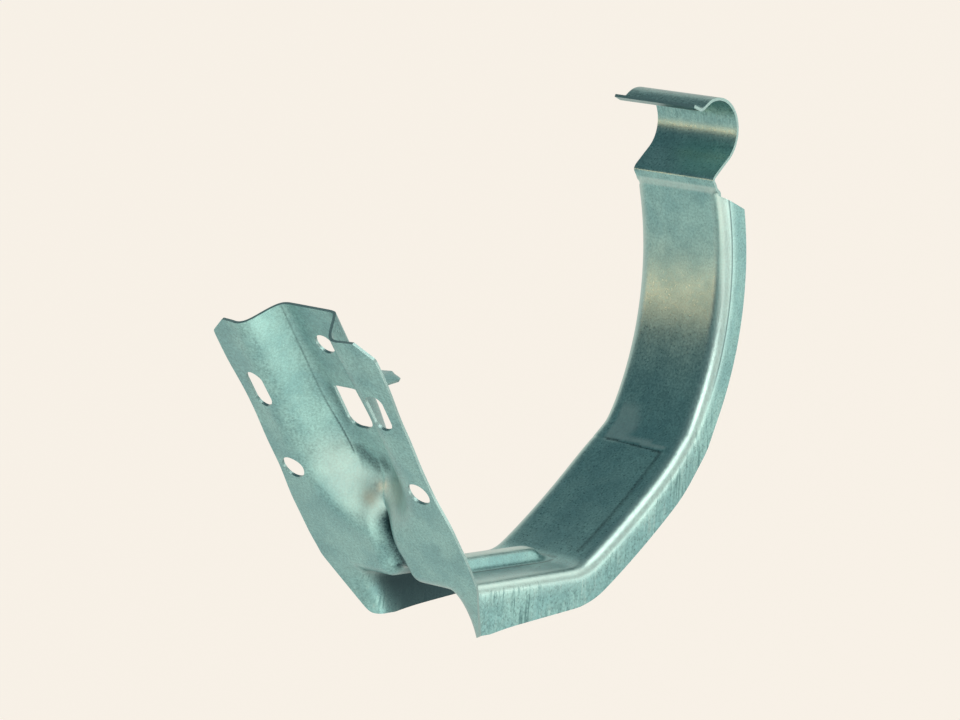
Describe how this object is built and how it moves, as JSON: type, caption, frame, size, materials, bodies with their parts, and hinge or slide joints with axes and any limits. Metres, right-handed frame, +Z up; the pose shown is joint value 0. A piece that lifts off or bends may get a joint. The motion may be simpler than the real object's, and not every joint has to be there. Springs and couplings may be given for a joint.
{
  "type": "gutter bracket",
  "caption": "Pressed sheet-steel eaves bracket: a ribbed back plate for the fascia, a folded channel arm curving under a half-round gutter, and a curled hook that holds the gutter's front bead.",
  "frame": {"origin": "midway between the two round fixing holes, on the rear face of the back plate, which lies against the fascia", "axes": "+X away from the fascia towards the hook, +Y along the gutter, +Z up"},
  "size_m": [0.1748, 0.06, 0.1406],
  "materials": {
    "galvanised_sheet": "hot-dip galvanised sheet steel, fine spangle, dull satin with lighter rubbed folds"
  },
  "bodies": {
    "root": {"gutter_bracket": "galvanised_sheet"}
  },
  "joints": []
}
